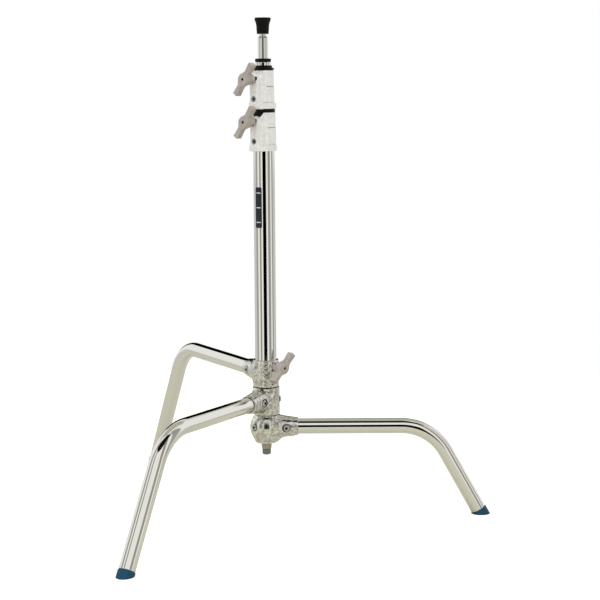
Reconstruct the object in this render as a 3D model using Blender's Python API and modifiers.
"""A steel light stand with a folding three-leg base, a lift-out column and two telescopic risers.

Units are metres and +Z is up. The floor is Z = 0 and the origin is the middle of the stand's own
bounding box on the floor. Every body has an empty on its joint's axis, and its pieces are placed
in that empty's space: for the legs, local +X runs outward along the leg.
"""

import math

import bmesh
import bpy

# ---------------------------------------------------------------- driving dimensions
AXIS_X, AXIS_Y = -0.0725, -0.0244     # the column's axis
GAP = 0.0003                          # between pieces that touch
TUBE_WALL = 0.0015

COLUMN_R = 0.0175
RISER_1_R = 0.0150
RISER_2_R = 0.0125
LEG_R = 0.0125
SPIGOT_R = 0.0080
NECK_R = 0.0059

LEG_SLOPE = math.radians(60.88)       # below the horizontal
LEG_BEND_R = 0.085                    # on the tube's centre line
LEG_INNER_END = 0.0240                # from the column's axis
BOSS_R = 0.0148                       # to the flat seats of the bolt's head and nut
BOSS_END_R = 0.0145
BOSS_ROOT_R = 0.0186
BOSS_ROOT = 0.0236                    # from the column's axis
BOLT_SEAT_R = 0.0070
FOOT_R = 0.0135
FOOT_HEIGHT = 0.0090                  # along the tube, from the floor to the tube's end

# name: azimuth of the leg in degrees, height of its centre line, radius of its foot, boss's end, bolt
LEGS = {
    "top": (118.43, 0.2383, 0.4381, 0.0560, 0.0360),
    "middle": (238.43, 0.1932, 0.3951, 0.0570, 0.0320),
    "bottom": (-1.57, 0.1481, 0.3522, 0.0520, 0.0329),
}
# the side of the leg that its bolt's head is on
BOLT_SIDE = {"top": 1, "middle": 1, "bottom": -1}

HUB_TOP = 0.2596
HUB_1_2 = 0.2150                      # between the top hub and the middle hub
HUB_2_3 = 0.1690                      # between the middle hub and the bottom hub
HUB_BOTTOM = 0.1223
TOP_HUB_R = 0.0207
MIDDLE_HUB_R = 0.0220
HUB_BORE_R = 0.0100
SLEEVE_R = 0.0097
BOLT_R = 0.0050
BOLT_BORE_R = 0.0053
NUT_BOTTOM = 0.1114
BASE_BOLT_BOTTOM = 0.1016
SPRING_POCKET_R = 0.0140
SPRING_POCKET_TOP = 0.1400
SPRING_R = 0.0118
SPRING_WIRE_R = 0.0011
SPRING_TURNS = 4
WASHER_THICK = 0.0020

COLUMN_BOTTOM = 0.2208
COLUMN_TOP = 0.6360
RISER_1_BOTTOM = 0.2400
RISER_1_TOP = 0.7000
RISER_2_BOTTOM = 0.2620
RISER_2_TOP = 0.7386

LOWER_COLLAR_BOTTOM, LOWER_COLLAR_TOP = 0.5985, 0.6595
UPPER_COLLAR_BOTTOM, UPPER_COLLAR_TOP = 0.6654, 0.7260
LUG_WIDTH = 0.0160
LUG_R = 0.0247

SEAT_BOTTOM, SEAT_TOP = 0.7389, 0.7447
NECK_BOTTOM, NECK_TOP = 0.7785, 0.7850
SPIGOT_TOP = 0.8030
CAP_BOTTOM, CAP_TOP = 0.7832, 0.8090

LABEL_BOTTOM, LABEL_TOP = 0.4755, 0.5408
LABEL_WIDTH = 0.0110
LABEL_AZIMUTH = 238.0

# handle: azimuth of its axis, height, inner face, turn of the bar about the axis in degrees
HANDLES = {
    "base": (-48.0, 0.2500, 0.0242, 45.0),
    "lower": (230.0, 0.6450, 0.0295, 35.0),
    "upper": (230.0, 0.7120, 0.0295, 35.0),
}
HANDLE_LENGTH = 0.0220
HANDLE_SPAN = 0.0580                  # tip to tip
HANDLE_BOSS_R = 0.0086
HANDLE_HUB_R = 0.0098
WING_DEPTH = 0.0118                    # along the handle's axis
WING_HALF = 0.0040                    # half the blade's thickness at its tip
STUD_R = 0.0040
STUD_BORE_R = 0.0044
PAD_R = 0.0041
PAD_LENGTH = 0.0021
PIN_R = 0.0015

# colour as sRGB 0..1, roughness, metallic
FINISHES = {
    "chrome_steel": ((0.82, 0.82, 0.81), 0.10, 1.0),
    "cast_zinc": ((0.70, 0.71, 0.68), 0.32, 1.0),
    "handle_zinc": ((0.62, 0.58, 0.56), 0.50, 0.8),
    "bolt_steel": ((0.50, 0.51, 0.51), 0.35, 1.0),
    "brass": ((0.66, 0.58, 0.45), 0.40, 1.0),
    "black_nylon": ((0.04, 0.04, 0.04), 0.45, 0.0),
    "black_rubber": ((0.05, 0.05, 0.05), 0.75, 0.0),
    "foot_plastic": ((0.15, 0.32, 0.39), 0.50, 0.0),
    "label_film": ((0.10, 0.20, 0.33), 0.40, 0.0),
}

# ---------------------------------------------------------------- scene and helpers
for old in list(bpy.data.objects):
    bpy.data.objects.remove(old, do_unlink=True)

PARTS = bpy.data.collections.new("c_stand")
CUTTERS = bpy.data.collections.new("cutters")
bpy.context.scene.collection.children.link(PARTS)
bpy.context.scene.collection.children.link(CUTTERS)

Z_AXIS = (0.0, 0.0, 0.0)
X_AXIS = (0.0, math.pi / 2, 0.0)      # turns a piece built along +Z to lie along +X
Y_AXIS = (-math.pi / 2, 0.0, 0.0)     # turns a piece built along +Z to lie along +Y


def srgb_to_linear(value):
    return value / 12.92 if value <= 0.04045 else ((value + 0.055) / 1.055) ** 2.4


def finish(name, kind):
    """A material of its own for the piece, in one of the stand's finishes."""
    colour, roughness, metallic = FINISHES[kind]
    material = bpy.data.materials.new(f"{name}_{kind}")
    material.use_nodes = True
    shader = material.node_tree.nodes["Principled BSDF"]
    shader.inputs["Base Color"].default_value = [srgb_to_linear(c) for c in colour] + [1.0]
    shader.inputs["Roughness"].default_value = roughness
    shader.inputs["Metallic"].default_value = metallic
    return material


def empty(name, parent=None, location=(0, 0, 0), rotation=(0, 0, 0)):
    item = bpy.data.objects.new(name, None)
    item.empty_display_size = 0.02
    item.location = location
    item.rotation_euler = rotation
    item.parent = parent
    PARTS.objects.link(item)
    return item


def place(item, kind, parent, location, rotation):
    """Put an object in its collection: a kind of finish makes it a part, None makes it a cutter."""
    item.location = location
    item.rotation_euler = rotation
    item.parent = parent
    if kind is None:
        item.hide_render = True
        item.display_type = "WIRE"
        CUTTERS.objects.link(item)
    else:
        item.data.materials.append(finish(item.name, kind))
        PARTS.objects.link(item)
    return item


def turned(name, profile, kind, parent, location=(0, 0, 0), rotation=Z_AXIS, sides=20, ring=False):
    """Turn a profile of (radius, z) points, top to bottom down its outer side, about local Z.

    With ring set the profile is a closed loop clear of the axis, and the piece has a hole.
    """
    mesh = bpy.data.meshes.new(name)
    edges = [(i, i + 1) for i in range(len(profile) - 1)]
    if ring:
        edges.append((len(profile) - 1, 0))
    mesh.from_pydata([(radius, 0.0, z) for radius, z in profile], edges, [])
    item = place(bpy.data.objects.new(name, mesh), kind, parent, location, rotation)
    screw = item.modifiers.new("turn", "SCREW")
    screw.axis = "Z"
    screw.steps = sides
    screw.render_steps = sides
    screw.use_merge_vertices = True
    screw.merge_threshold = 0.00002
    screw.use_smooth_shade = True
    return item


def rod(name, radius, low, high, kind, parent, location=(0, 0, 0), rotation=Z_AXIS, sides=20):
    profile = [(0, high), (radius, high), (radius, low), (0, low)]
    return turned(name, profile, kind, parent, location, rotation, sides)


def tube(name, radius, bore, low, high, kind, parent, location=(0, 0, 0), rotation=Z_AXIS, sides=24):
    profile = [(bore, high), (radius, high), (radius, low), (bore, low)]
    return turned(name, profile, kind, parent, location, rotation, sides, ring=True)


def arc(centre, radius, start, end, count):
    """Points on a circle in the plane, from one angle in degrees to another."""
    angles = [math.radians(start + (end - start) * i / (count - 1)) for i in range(count)]
    return [(centre[0] + radius * math.cos(a), centre[1] + radius * math.sin(a)) for a in angles]


def to_mesh(curve_object, kind):
    """Replace a curve object by a mesh object with its caps welded."""
    bpy.context.view_layer.update()
    graph = bpy.context.evaluated_depsgraph_get()
    mesh = bpy.data.meshes.new_from_object(curve_object.evaluated_get(graph))
    work = bmesh.new()
    work.from_mesh(mesh)
    bmesh.ops.remove_doubles(work, verts=work.verts, dist=0.000005)
    bmesh.ops.recalc_face_normals(work, faces=work.faces)
    work.to_mesh(mesh)
    work.free()
    mesh.materials.clear()
    name = curve_object.name
    parent = curve_object.parent
    location = curve_object.location.copy()
    rotation = curve_object.rotation_euler.copy()
    bpy.data.objects.remove(curve_object, do_unlink=True)
    return place(bpy.data.objects.new(name, mesh), kind, parent, location, rotation)


def curve(name, points, parent, location, rotation, dimensions):
    data = bpy.data.curves.new(name, "CURVE")
    data.dimensions = dimensions
    spline = data.splines.new("POLY")
    spline.points.add(len(points) - 1)
    for point, spot in zip(spline.points, points):
        point.co = (*spot, 1.0) if len(spot) == 3 else (*spot, 0.0, 1.0)
    item = bpy.data.objects.new(name, data)
    item.location = location
    item.rotation_euler = rotation
    item.parent = parent
    PARTS.objects.link(item)
    return item


def plate(name, outline, thick, kind, parent, location=(0, 0, 0), rotation=Z_AXIS):
    """A flat outline in local XY, extruded to both sides of its plane."""
    item = curve(name, outline, parent, location, rotation, "2D")
    item.data.splines[0].use_cyclic_u = True
    item.data.fill_mode = "BOTH"
    item.data.extrude = thick / 2
    return to_mesh(item, kind)


def bent_rod(name, points, radius, detail, kind, parent, capped=True):
    item = curve(name, points, parent, (0, 0, 0), (0, 0, 0), "3D")
    item.data.bevel_depth = radius
    item.data.bevel_resolution = detail
    item.data.use_fill_caps = capped
    return to_mesh(item, kind)


def boolean(item, other, operation="DIFFERENCE"):
    step = item.modifiers.new(other.name, "BOOLEAN")
    step.object = other
    step.operation = operation
    step.solver = "EXACT"


def bevel(item, width, segments=1):
    step = item.modifiers.new("edges", "BEVEL")
    step.width = width
    step.segments = segments
    step.limit_method = "ANGLE"
    step.angle_limit = math.radians(40)
    return step


# ---------------------------------------------------------------- axes of the bodies
STAND = empty("stand", location=(AXIS_X, AXIS_Y, 0))
COLUMN_AXIS = empty("column_axis", STAND)
RISER_1_AXIS = empty("riser_1_axis", COLUMN_AXIS)
RISER_2_AXIS = empty("riser_2_axis", RISER_1_AXIS)
LEG_AXES = {
    leg: empty(f"{leg}_leg_axis", STAND, rotation=(0, 0, math.radians(sizes[0])))
    for leg, sizes in LEGS.items()
}


def handle_axis(handle, parent):
    """An empty on a T-handle's axis, with +X outward and +Z along its bar."""
    azimuth, height, _, tilt = HANDLES[handle]
    turn = (-math.radians(tilt), 0.0, math.radians(azimuth))
    return empty(f"{handle}_handle_axis", parent, (0, 0, height), turn)


def lug_axis_of(handle, parent):
    """An empty on a T-handle's axis, with +X outward and +Z up."""
    azimuth, height, _, _ = HANDLES[handle]
    return empty(f"{handle}_lug_axis", parent, (0, 0, height), (0, 0, math.radians(azimuth)))


# ---------------------------------------------------------------- legs and feet
def leg_centre_line(height, foot_radius):
    """Straight out of the hub, round one bend and down the slope to just above the floor."""
    corner = foot_radius - height / math.tan(LEG_SLOPE)
    setback = LEG_BEND_R * math.tan(LEG_SLOPE / 2)
    bend_start = corner - setback
    points = [(LEG_INNER_END, 0.0, height)]
    bends = 6
    for i in range(bends + 1):
        angle = LEG_SLOPE * i / bends
        out = bend_start + LEG_BEND_R * math.sin(angle)
        points.append((out, 0.0, height - LEG_BEND_R * (1 - math.cos(angle))))
    rise = FOOT_HEIGHT + GAP
    end = (foot_radius - rise * math.cos(LEG_SLOPE), 0.0, rise * math.sin(LEG_SLOPE))
    points.append(end)
    return points


def make_leg(leg):
    _, height, foot_radius, _, bolt_out = LEGS[leg]
    axis = LEG_AXES[leg]
    pipe = bent_rod(f"{leg}_leg", leg_centre_line(height, foot_radius), LEG_R, 5, "chrome_steel",
                    axis, capped=False)
    wall = pipe.modifiers.new("wall", "SOLIDIFY")
    wall.thickness = TUBE_WALL
    wall.offset = -1.0
    hole = turned(f"{leg}_leg_bolt_hole", [
        (0, 0.0300), (BOLT_SEAT_R, 0.0300), (BOLT_SEAT_R, BOSS_R), (0.0033, BOSS_R),
        (0.0033, -BOSS_R), (BOLT_SEAT_R, -BOSS_R), (BOLT_SEAT_R, -0.0300), (0, -0.0300),
    ], None, axis, (bolt_out, 0, height), Y_AXIS, sides=14)
    boolean(pipe, hole)

    tilt = -(math.pi / 2 - LEG_SLOPE)
    foot = turned(f"{leg}_foot", [
        (0, 0.0300), (0.0090, 0.0300), (0.0105, 0.0280), (0.0105, FOOT_HEIGHT),
        (FOOT_R, FOOT_HEIGHT), (FOOT_R, -0.0120), (0, -0.0120),
    ], "foot_plastic", axis, (foot_radius, 0, 0), (0, tilt, 0), sides=16)
    floor = plate(f"{leg}_foot_floor", [(-0.04, -0.04), (0.04, -0.04), (0.04, 0.04), (-0.04, 0.04)],
                  0.04, None, axis, (foot_radius, 0, -0.02))
    boolean(foot, floor)
    return hole


def make_leg_bolt(leg):
    """A button-head screw through the boss and the tube, and its nut on the far side."""
    _, height, _, _, bolt_out = LEGS[leg]
    axis = LEG_AXES[leg]
    side = BOLT_SIDE[leg]
    where = (bolt_out, 0, height)
    turn = Y_AXIS if side > 0 else (math.pi / 2, 0, 0)
    seat = BOSS_R + GAP
    screw = turned(f"{leg}_leg_bolt", [
        (0, seat + 0.0030), (0.0034, seat + 0.0030), (0.0050, seat + 0.0022), (0.0057, seat + 0.0010),
        (0.0057, seat), (0.0029, seat), (0.0029, -seat - 0.0052), (0, -seat - 0.0052),
    ], "bolt_steel", axis, where, turn, sides=12)
    socket = turned(f"{leg}_leg_bolt_socket", [
        (0, seat + 0.0040), (0.0018, seat + 0.0040), (0.0018, seat + 0.0012), (0, seat + 0.0012),
    ], None, axis, where, turn, sides=6)
    boolean(screw, socket)
    turned(f"{leg}_leg_nut", [
        (0.0037, -seat), (0.0058, -seat), (0.0058, -seat - 0.0046), (0.0037, -seat - 0.0046),
    ], "bolt_steel", axis, where, turn, sides=6, ring=True)


# ---------------------------------------------------------------- hubs
def boss_with_gusset(leg, drop):
    """The socket that holds the leg, a taper that widens towards the hub, with a web under it."""
    _, height, _, boss_end, _ = LEGS[leg]
    axis = LEG_AXES[leg]
    boss = turned(f"{leg}_boss_shape", [
        (0, boss_end), (BOSS_END_R - 0.0006, boss_end), (BOSS_END_R, boss_end - 0.0010),
        (BOSS_ROOT_R, BOSS_ROOT), (BOSS_ROOT_R, 0.0020), (0, 0.0020),
    ], None, axis, (0, 0, height), X_AXIS, sides=20)
    web_low = height - drop
    web = plate(f"{leg}_web_shape", [
        (0.0040, height - 0.0100), (0.0040, web_low), (0.0215, web_low),
        (0.0250, web_low + 0.0060), (0.0360, height - BOSS_R), (0.0360, height - 0.0100),
    ], 0.0110, None, axis, (0, 0, 0), (math.pi / 2, 0, 0))
    return boss, web


def leg_socket(leg):
    _, height, _, boss_end, _ = LEGS[leg]
    return rod(f"{leg}_socket_hole", LEG_R + GAP, LEG_INNER_END - GAP, boss_end + 0.01, None,
               LEG_AXES[leg], (0, 0, height), X_AXIS, sides=24)


def make_hub(leg, outer, bores, drop, bolt_hole, extra=()):
    """Turn the hub's outside, join the leg's boss, then cut the socket, the bores and the holes."""
    hub = turned(f"{leg}_hub", outer, "cast_zinc", LEG_AXES[leg], sides=24)
    for shape in (*boss_with_gusset(leg, drop), *extra):
        boolean(hub, shape, "UNION")
    boolean(hub, leg_socket(leg))
    boolean(hub, bolt_hole)
    for number, (radius, low, high) in enumerate(bores):
        cutter = rod(f"{leg}_bore_{number}", radius, low, high, None, LEG_AXES[leg], sides=24)
        boolean(hub, cutter)
    return hub


def lug(name, parent, low, centre, inner, outer, flare=0.0030):
    """A rib with a round top about the handle's axis, standing out of a collar or a hub."""
    half = LUG_WIDTH / 2
    outline = [(-half, low + 0.018), (-half - flare, low), (half + flare, low), (half, low + 0.018)]
    outline += arc((0, centre), half, 0, 180, 9)
    # local X of the plate is sideways and its Y is up, so its plane faces along the lug's axis
    depth = outer - inner
    return plate(name, outline, depth, None, parent, (inner + depth / 2, 0, 0),
                 (math.pi / 2, 0, math.pi / 2))


def handle_holes(handle, item, axis, inner, outer):
    """The threaded hole for a handle's stud and its pad."""
    hole = rod(f"{handle}_stud_hole", STUD_BORE_R, inner, outer, None, axis, (0, 0, 0), X_AXIS, 12)
    boolean(item, hole)


def stop_screw(leg, azimuth, height, reach, hub):
    """A button-head screw in the side of a hub; azimuth is measured from the leg."""
    seat = empty(f"{leg}_stop_axis", LEG_AXES[leg], (0, 0, height), (0, 0, math.radians(azimuth)))
    screw = turned(f"{leg}_hub_screw", [
        (0, reach + 0.0030), (0.0034, reach + 0.0030), (0.0048, reach + 0.0022),
        (0.0053, reach + 0.0010), (0.0053, reach), (0.0029, reach), (0.0029, reach - 0.0060),
        (0, reach - 0.0060),
    ], "bolt_steel", seat, (0, 0, 0), X_AXIS, sides=12)
    socket = turned(f"{leg}_hub_screw_socket", [
        (0, reach + 0.0040), (0.0018, reach + 0.0040), (0.0018, reach + 0.0012), (0, reach + 0.0012),
    ], None, seat, (0, 0, 0), X_AXIS, sides=6)
    boolean(screw, socket)
    hole = turned(f"{leg}_hub_screw_hole", [
        (0, reach + 0.0060), (0.0058, reach + 0.0060), (0.0058, reach - GAP), (0.0032, reach - GAP),
        (0.0032, reach - 0.0065), (0, reach - 0.0065),
    ], None, seat, (0, 0, 0), X_AXIS, sides=12)
    boolean(hub, hole)


# ---------------------------------------------------------------- T-handles
def make_handle(handle, axis):
    """A die-cast T-handle: a round boss and two thin blades with square-cut tips, pinned to its stud."""
    inner = HANDLES[handle][2]
    outer = inner + HANDLE_LENGTH
    boss = turned(f"{handle}_handle", [
        (0, outer - 0.0010), (HANDLE_BOSS_R - 0.0004, outer - 0.0010), (HANDLE_BOSS_R, outer - 0.0030),
        (HANDLE_BOSS_R, inner + 0.0008), (HANDLE_BOSS_R - 0.0008, inner), (0, inner),
    ], "handle_zinc", axis, (0, 0, 0), X_AXIS, sides=16)
    tip = HANDLE_SPAN / 2
    half = [(tip, WING_HALF), (tip - 0.0015, WING_HALF + 0.0002), (0.0170, WING_HALF - 0.0004)]
    waist = arc((0, 0), HANDLE_HUB_R, 25, 155, 7)
    outline = half + waist + [(-x, y) for x, y in reversed(half)]
    outline += [(-x, -y) for x, y in outline]
    wings = plate(f"{handle}_handle_wings", outline, WING_DEPTH, None, axis,
                  (outer - WING_DEPTH / 2, 0, 0), X_AXIS)
    bevel(wings, 0.0012)
    boolean(boss, wings, "UNION")
    bore = turned(f"{handle}_handle_bore", [
        (0, outer + 0.002), (0.0016, outer + 0.002), (0.0016, outer - 0.0045),
        (STUD_BORE_R, outer - 0.0050), (STUD_BORE_R, inner - 0.002), (0, inner - 0.002),
    ], None, axis, (0, 0, 0), X_AXIS, sides=12)
    boolean(boss, bore)
    pin_out = inner + 0.0050
    cross = rod(f"{handle}_pin_hole", PIN_R + GAP, -0.02, 0.02, None, axis, (pin_out, 0, 0), Y_AXIS, 8)
    boolean(boss, cross)
    rod(f"{handle}_handle_pin", PIN_R, -HANDLE_BOSS_R + 0.001, HANDLE_BOSS_R - 0.001, "bolt_steel",
        axis, (pin_out, 0, 0), Y_AXIS, 8)
    return cross


def make_stud(handle, axis, cross, start):
    end = HANDLES[handle][2] + HANDLE_LENGTH - 0.0056
    stud = rod(f"{handle}_handle_stud", STUD_R, start, end, "bolt_steel", axis, (0, 0, 0), X_AXIS, 12)
    boolean(stud, cross)


# ---------------------------------------------------------------- base
def make_base():
    holes = {leg: make_leg(leg) for leg in LEGS}
    for leg in LEGS:
        make_leg_bolt(leg)

    lug_axis = lug_axis_of("base", STAND)
    base_lug = lug("base_lug_shape", lug_axis, HUB_1_2 + 0.0012 - HANDLES["base"][1], 0.0, 0.0120,
                   0.0224, flare=0.0)
    top_hub = make_hub("top", [
        (0, HUB_TOP), (TOP_HUB_R - 0.0010, HUB_TOP), (TOP_HUB_R, HUB_TOP - 0.0015),
        (TOP_HUB_R, HUB_1_2 + 0.0010), (TOP_HUB_R - 0.0008, HUB_1_2), (0, HUB_1_2),
    ], [
        (COLUMN_R + GAP, COLUMN_BOTTOM - GAP, HUB_TOP + 0.01),
        (BOLT_BORE_R, HUB_1_2 - 0.01, COLUMN_BOTTOM + 0.005),
    ], 0.0230, holes["top"], extra=[base_lug])
    handle_holes("base", top_hub, lug_axis, COLUMN_R - 0.003, 0.030)

    middle_hub = make_hub("middle", [
        (0, HUB_1_2 - GAP), (MIDDLE_HUB_R - 0.0015, HUB_1_2 - GAP), (MIDDLE_HUB_R, HUB_1_2 - 0.0025),
        (MIDDLE_HUB_R, HUB_2_3 + 0.0020), (MIDDLE_HUB_R - 0.0012, HUB_2_3 + GAP), (0, HUB_2_3 + GAP),
    ], [
        (HUB_BORE_R, HUB_2_3 - 0.01, HUB_1_2 + 0.01),
        (0.0173, HUB_1_2 - WASHER_THICK - 2 * GAP, HUB_1_2 + 0.01),
    ], 0.0232, holes["middle"])
    stop_screw("middle", 360 - LEGS["middle"][0], 0.1940, MIDDLE_HUB_R - 0.0006, middle_hub)

    bottom_hub = make_hub("bottom", [
        (0, HUB_2_3), (0.0186, HUB_2_3), (0.0193, HUB_2_3 - 0.0018), (0.0227, 0.1628), (0.0250, 0.1575),
        (0.0263, 0.1520), (0.0266, 0.1460), (0.0258, 0.1410), (0.0225, 0.1320), (0.0188, 0.1245),
        (0.0178, HUB_BOTTOM), (0, HUB_BOTTOM),
    ], [
        (HUB_BORE_R, HUB_BOTTOM - 0.01, HUB_2_3 + 0.01),
        (0.0173, HUB_2_3 - WASHER_THICK - 2 * GAP, HUB_2_3 + 0.01),
        (SPRING_POCKET_R, HUB_BOTTOM - 0.01, SPRING_POCKET_TOP),
    ], 0.0205, holes["bottom"])
    stop_screw("bottom", 222 - LEGS["bottom"][0], 0.1500, 0.0255, bottom_hub)

    groove_axis = empty("groove_axis", LEG_AXES["bottom"], rotation=(0, 0, math.radians(-88)))
    above = HUB_2_3 + 0.0010
    groove = plate("bottom_groove", [(-0.0110, above), (0, HUB_2_3 - 0.0054), (0.0110, above),
                                     (0.0090, above), (0, HUB_2_3 - 0.0036), (-0.0090, above)],
                   0.0080, None, groove_axis, (0.0225, 0, 0), (math.pi / 2, 0, math.pi / 2))
    boolean(bottom_hub, groove)

    # turning parts on the base bolt
    tube("hub_sleeve", SLEEVE_R, BOLT_BORE_R, HUB_BOTTOM + 0.0025, HUB_1_2 - GAP, "bolt_steel", STAND,
         sides=16)
    for name, top in (("upper_thrust_washer", HUB_1_2 - GAP), ("lower_thrust_washer", HUB_2_3 - GAP)):
        tube(name, 0.0169, HUB_BORE_R + GAP, top - WASHER_THICK, top, "black_nylon", STAND, sides=20)
    tube("spring_washer", 0.0136, BOLT_BORE_R, HUB_BOTTOM, HUB_BOTTOM + 0.0022, "bolt_steel", STAND,
         sides=20)
    low = HUB_BOTTOM + 0.0022 + SPRING_WIRE_R + GAP
    high = SPRING_POCKET_TOP - SPRING_WIRE_R - GAP
    steps = SPRING_TURNS * 12
    coil = []
    for i in range(steps + 1):
        angle = 2 * math.pi * i / 12
        height = low + (high - low) * i / steps
        coil.append((SPRING_R * math.cos(angle), SPRING_R * math.sin(angle), height))
    bent_rod("hub_spring", coil, SPRING_WIRE_R, 1, "bolt_steel", STAND)
    tube("base_nut", 0.0086, BOLT_BORE_R, NUT_BOTTOM, HUB_BOTTOM - GAP, "brass", STAND, sides=18)
    head = NUT_BOTTOM - GAP
    bolt = rod("base_bolt", 0.0072, BASE_BOLT_BOTTOM, head, "bolt_steel", STAND, sides=6)
    bevel(bolt, 0.0007)
    shank = rod("base_bolt_shank", BOLT_R, head - 0.003, COLUMN_BOTTOM - 0.0015, None, STAND, sides=16)
    boolean(bolt, shank, "UNION")

    # base T-handle
    pivot = handle_axis("base", STAND)
    rod("base_brake_pad", PAD_R, COLUMN_R + 2 * GAP, COLUMN_R + 2 * GAP + PAD_LENGTH, "black_nylon",
        lug_axis, (0, 0, 0), X_AXIS, 12)
    cross = make_handle("base", pivot)
    make_stud("base", pivot, cross, COLUMN_R + 3 * GAP + PAD_LENGTH)


# ---------------------------------------------------------------- collars
def make_collar(body, handle, axis, profile, bottom, clamped_r):
    """A cast collar on top of a tube: its lug takes the T-handle's stud and a set screw."""
    azimuth, height, _, _ = HANDLES[handle]
    lug_axis = lug_axis_of(handle, axis)
    collar = turned(f"{body}_collar", profile, "cast_zinc", axis, sides=24)
    rib = lug(f"{body}_lug_shape", lug_axis, bottom - height, 0.0, clamped_r + 0.0004, LUG_R)
    boolean(collar, rib, "UNION")
    return collar, lug_axis


def finish_collar(body, handle, collar, lug_axis, bores, screw_height, tube_r, clamped_r):
    """Bore the collar, drill its lug, and add the set screw and the brake pad."""
    for number, (radius, low, high) in enumerate(bores):
        cutter = rod(f"{body}_collar_bore_{number}", radius, low, high, None, collar.parent, sides=24)
        boolean(collar, cutter)
    handle_holes(handle, collar, lug_axis, clamped_r - 0.004, LUG_R + 0.01)
    height = screw_height - HANDLES[handle][1]
    inner = tube_r + 2 * GAP
    hole = turned(f"{body}_screw_hole", [
        (0, LUG_R + 0.002), (0.0046, LUG_R + 0.002), (0.0046, LUG_R - 0.0043), (0.0029, LUG_R - 0.0043),
        (0.0029, inner - 0.003), (0, inner - 0.003),
    ], None, lug_axis, (0, 0, height), X_AXIS, sides=14)
    boolean(collar, hole)
    screw = turned(f"{body}_collar_screw", [
        (0, LUG_R - 0.0006), (0.0038, LUG_R - 0.0006), (0.0042, LUG_R - 0.0010),
        (0.0042, LUG_R - 0.0040), (0.0025, LUG_R - 0.0040), (0.0025, inner), (0, inner),
    ], "bolt_steel", lug_axis, (0, 0, height), X_AXIS, sides=14)
    socket = rod(f"{body}_screw_socket", 0.0025, LUG_R - 0.0031, LUG_R, None, lug_axis,
                 (0, 0, height), X_AXIS, 6)
    boolean(screw, socket)
    pad = clamped_r + 2 * GAP
    rod(f"{body}_brake_pad", PAD_R, pad, pad + PAD_LENGTH, "black_nylon", lug_axis, (0, 0, 0),
        X_AXIS, 12)


def make_column():
    tube("column_tube", COLUMN_R, COLUMN_R - TUBE_WALL, COLUMN_BOTTOM, COLUMN_TOP, "chrome_steel",
         COLUMN_AXIS)
    rod("column_plug", COLUMN_R - TUBE_WALL - GAP, COLUMN_BOTTOM + GAP, COLUMN_BOTTOM + 0.0100,
        "black_nylon", COLUMN_AXIS, sides=24)
    low, high = LOWER_COLLAR_BOTTOM, LOWER_COLLAR_TOP
    collar, lug_axis = make_collar("column", "lower", COLUMN_AXIS, [
        (0, high), (0.0187, high), (0.0192, high - 0.0010), (0.0192, 0.6355), (0.0197, 0.6350),
        (0.0197, 0.6080), (0.0209, 0.6072), (0.0209, low + 0.0008), (0.0202, low), (0, low),
    ], low, RISER_1_R)
    finish_collar("column", "lower", collar, lug_axis, [
        (COLUMN_R + GAP, low - 0.01, COLUMN_TOP + GAP),
        (RISER_1_R + 2 * GAP, COLUMN_TOP - 0.005, high + 0.01),
        (0.0173, 0.6500, high + 0.01),
    ], 0.6140, COLUMN_R, RISER_1_R)
    turned("column_bushing", [
        (RISER_1_R + GAP, 0.6651), (0.0180, 0.6651), (0.0186, 0.6645), (0.0186, 0.6603),
        (0.0181, high + GAP), (0.0170, high + GAP), (0.0170, 0.6503), (RISER_1_R + GAP, 0.6503),
    ], "black_nylon", COLUMN_AXIS, sides=20, ring=True)

    # a strip of the column's own surface, thickened outward
    strip = bpy.data.meshes.new("column_label")
    strip.from_pydata([(COLUMN_R + GAP, 0, LABEL_TOP), (COLUMN_R + GAP, 0, LABEL_BOTTOM)], [(0, 1)], [])
    angle = LABEL_WIDTH / COLUMN_R
    label = place(bpy.data.objects.new("column_label", strip), "label_film", COLUMN_AXIS, (0, 0, 0),
                  (0, 0, math.radians(LABEL_AZIMUTH) - angle / 2))
    sweep = label.modifiers.new("bend", "SCREW")
    sweep.angle = angle
    sweep.steps = 6
    sweep.render_steps = 6
    sweep.use_merge_vertices = False
    film = label.modifiers.new("film", "SOLIDIFY")
    film.thickness = 0.0004
    film.offset = 1.0

    pivot = handle_axis("lower", COLUMN_AXIS)
    cross = make_handle("lower", pivot)
    make_stud("lower", pivot, cross, RISER_1_R + 3 * GAP + PAD_LENGTH)


def guide(name, tube_bottom, outer_r, tube_r, axis):
    """A nylon foot plugged into a riser's lower end, sliding in the tube around it."""
    shank = tube_r - TUBE_WALL - GAP
    low, high = tube_bottom - 0.0080, tube_bottom - GAP
    turned(name, [
        (0, tube_bottom + 0.0120), (shank, tube_bottom + 0.0120), (shank, high), (outer_r, high),
        (outer_r, low + 0.0010), (outer_r - 0.0010, low), (0, low),
    ], "black_nylon", axis, sides=16)


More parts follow.
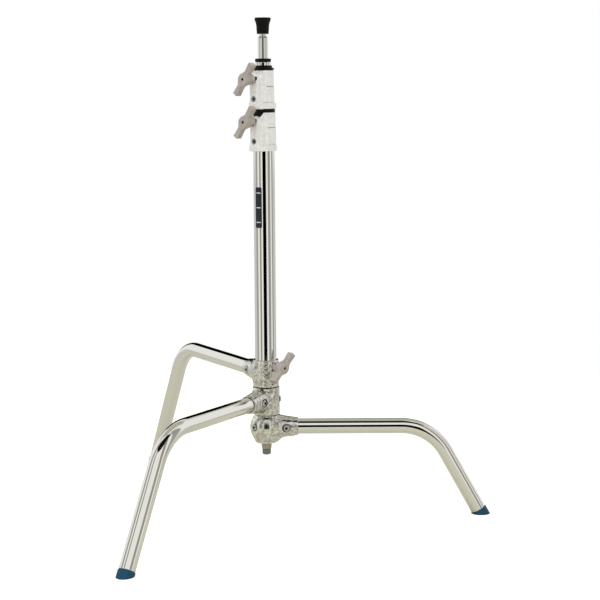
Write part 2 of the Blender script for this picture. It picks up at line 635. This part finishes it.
def make_riser_1():
    tube("riser_1_tube", RISER_1_R, RISER_1_R - TUBE_WALL, RISER_1_BOTTOM, RISER_1_TOP, "chrome_steel",
         RISER_1_AXIS)
    guide("riser_1_guide", RISER_1_BOTTOM, COLUMN_R - TUBE_WALL - GAP, RISER_1_R, RISER_1_AXIS)
    low, high = UPPER_COLLAR_BOTTOM, UPPER_COLLAR_TOP
    collar, lug_axis = make_collar("riser_1", "upper", RISER_1_AXIS, [
        (0, high), (0.0164, high), (0.0169, high - 0.0010), (0.0169, 0.7006), (0.0174, 0.7000),
        (0.0174, 0.6748), (0.0204, 0.6738), (0.0204, low + 0.0008), (0.0197, low), (0, low),
    ], low, RISER_2_R)
    finish_collar("riser_1", "upper", collar, lug_axis, [
        (RISER_1_R + GAP, low - 0.01, RISER_1_TOP + GAP),
        (RISER_2_R + 2 * GAP, RISER_1_TOP - 0.005, high + 0.01),
        (0.0150, 0.7170, high + 0.01),
    ], 0.6810, RISER_1_R, RISER_2_R)
    turned("riser_1_bushing", [
        (RISER_2_R + GAP, 0.7338), (0.0138, 0.7338), (0.0143, 0.7333), (0.0143, 0.7303),
        (0.0166, 0.7300), (0.0172, 0.7293), (0.0172, 0.7270), (0.0168, high + GAP),
        (0.0147, high + GAP), (0.0147, 0.7173), (RISER_2_R + GAP, 0.7173),
    ], "black_nylon", RISER_1_AXIS, sides=20, ring=True)
    pivot = handle_axis("upper", RISER_1_AXIS)
    cross = make_handle("upper", pivot)
    make_stud("upper", pivot, cross, RISER_2_R + 3 * GAP + PAD_LENGTH)


def make_riser_2():
    tube("riser_2_tube", RISER_2_R, RISER_2_R - TUBE_WALL, RISER_2_BOTTOM, RISER_2_TOP, "chrome_steel",
         RISER_2_AXIS)
    guide("riser_2_guide", RISER_2_BOTTOM, RISER_1_R - TUBE_WALL - GAP, RISER_2_R, RISER_2_AXIS)
    turned("spigot", [
        (0, SPIGOT_TOP), (SPIGOT_R - 0.0010, SPIGOT_TOP), (SPIGOT_R, SPIGOT_TOP - 0.0010),
        (SPIGOT_R, NECK_TOP), (NECK_R, NECK_TOP - 0.0015), (NECK_R, NECK_BOTTOM + 0.0006),
        (SPIGOT_R, NECK_BOTTOM - 0.0012), (SPIGOT_R, RISER_2_TOP), (0.0107, RISER_2_TOP - GAP),
        (0.0107, 0.7000), (0, 0.7000),
    ], "chrome_steel", RISER_2_AXIS, sides=20)
    middle = (SEAT_BOTTOM + SEAT_TOP) / 2
    round_edge = arc((0.0106, middle), (SEAT_TOP - SEAT_BOTTOM) / 2, 90, -90, 5)
    inner = SPIGOT_R + GAP
    turned("spigot_seat_ring", [(inner, SEAT_TOP), *round_edge, (inner, SEAT_BOTTOM)],
           "black_rubber", RISER_2_AXIS, sides=20, ring=True)
    cap_axis = empty("cap_axis", RISER_2_AXIS)
    turned("spigot_cap", [
        (0, CAP_TOP), (0.0118, CAP_TOP), (0.0128, CAP_TOP - 0.0006), (0.0132, CAP_TOP - 0.0020),
        (0.0131, 0.8010), (0.0121, 0.7992), (0.0110, 0.7975), (0.0103, CAP_BOTTOM + 0.0004),
        (0.0100, CAP_BOTTOM), (SPIGOT_R + GAP, CAP_BOTTOM), (SPIGOT_R + GAP, SPIGOT_TOP + GAP),
        (0, SPIGOT_TOP + GAP),
    ], "black_rubber", cap_axis, sides=20)


make_base()
make_column()
make_riser_1()
make_riser_2()
bpy.context.view_layer.update()
